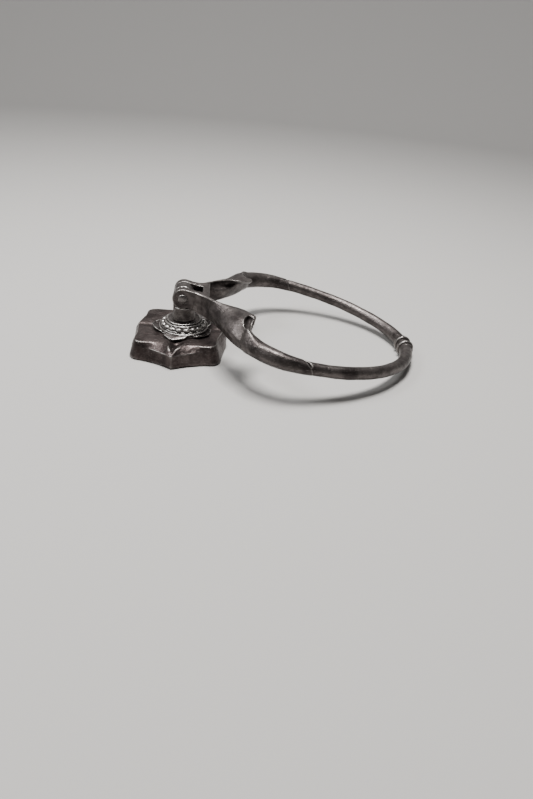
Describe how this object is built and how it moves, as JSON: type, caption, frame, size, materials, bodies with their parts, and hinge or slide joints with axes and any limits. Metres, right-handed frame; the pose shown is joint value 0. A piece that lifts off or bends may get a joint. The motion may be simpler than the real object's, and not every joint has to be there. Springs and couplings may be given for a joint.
{
  "type": "door knocker",
  "caption": "Wrought iron door knocker: a stirrup-shaped ring on a riveted pin, a post with beaded and leaf collars, a lobed backplate and a through-bolted shank.",
  "frame": {"origin": "centre of the shank at the door's face, which is the back face of the backplate", "axes": "+Z straight out of the door along the shank and the post, +X towards the knop that strikes at rest, +Y along the hinge pin"},
  "size_m": [0.2211, 0.1614, 0.1056],
  "materials": {
    "plate_iron": "dark forged iron, rubbed bright on its edges",
    "worked_iron": "burnished dark iron with filed lines",
    "ring_iron": "burnished dark iron, worn bright by hands",
    "pin_iron": "hammered rivet heads",
    "hidden_iron": "plain iron"
  },
  "bodies": {
    "root": {"backplate": "plate_iron", "leaf_rosette": "worked_iron", "base_ring": "worked_iron", "bead_ring": "worked_iron", "collar": "worked_iron", "post": "worked_iron"},
    "ring": {"pivot_pin": "pin_iron", "fork": "ring_iron", "near_arm": "ring_iron", "far_arm": "ring_iron", "ring_bar": "ring_iron", "knop_collar": "ring_iron"},
    "fastening": {"backing_washer": "hidden_iron", "square_nut": "hidden_iron"}
  },
  "joints": [
    {"name": "ring_swing", "type": "hinge", "parent": "root", "child": "ring", "pos_m": [0, 0, 0.042], "axis": [0, -1, 0], "range_deg": [0, 202]},
    {"name": "nut_travel", "type": "slide", "parent": "root", "child": "fastening", "axis": [0, 0, -1], "range_m": [0, 0.12]}
  ]
}
